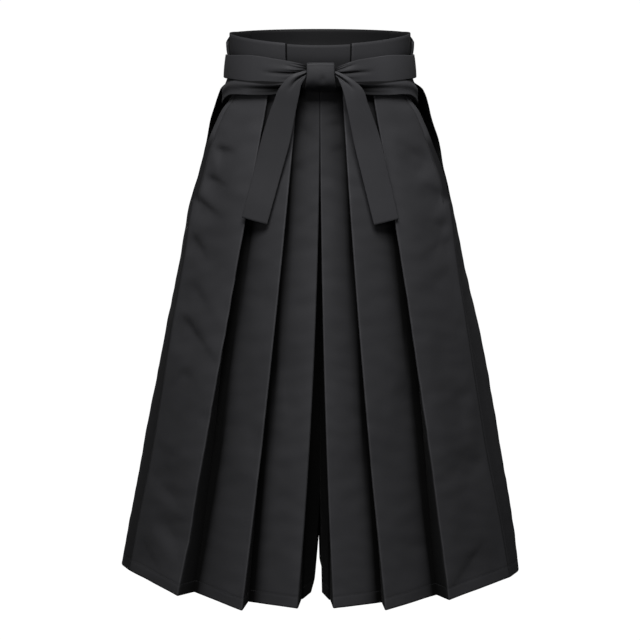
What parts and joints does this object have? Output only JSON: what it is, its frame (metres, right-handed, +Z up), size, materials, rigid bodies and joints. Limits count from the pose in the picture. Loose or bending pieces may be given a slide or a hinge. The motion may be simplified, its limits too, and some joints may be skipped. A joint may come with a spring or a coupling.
{
  "type": "hakama trousers",
  "caption": "Black pleated hakama trousers with divided legs, side openings and two wrapped ties knotted in front, in their worn, hollow form.",
  "frame": {"origin": "on the upright centre line of the waist ring, level with the middle of the wrapped ties, where the wearer's waist holds the garment", "axes": "+Z up towards the waist's open top, -Y to the wearer's front where the knot is, +X to the wearer's left"},
  "size_m": [0.6531, 0.3617, 0.8761],
  "materials": {
    "cloth": "black twill with a low soft sheen",
    "band_cloth": "black twill, folded double, with a low soft sheen"
  },
  "bodies": {
    "root": {"front_right": "cloth", "front_left": "cloth", "back_right": "cloth", "back_left": "cloth", "inner_leg_right": "cloth", "inner_leg_left": "cloth", "waistband_front_centre": "band_cloth", "waistband_front_right": "band_cloth", "waistband_front_left": "band_cloth", "waistband_back": "band_cloth", "upper_tie_right": "band_cloth", "upper_tie_left": "band_cloth", "lower_tie_right": "band_cloth", "lower_tie_left": "band_cloth", "lower_tie_back": "band_cloth", "knot": "band_cloth", "tie_end_right": "band_cloth", "tie_end_left": "band_cloth"}
  },
  "joints": []
}
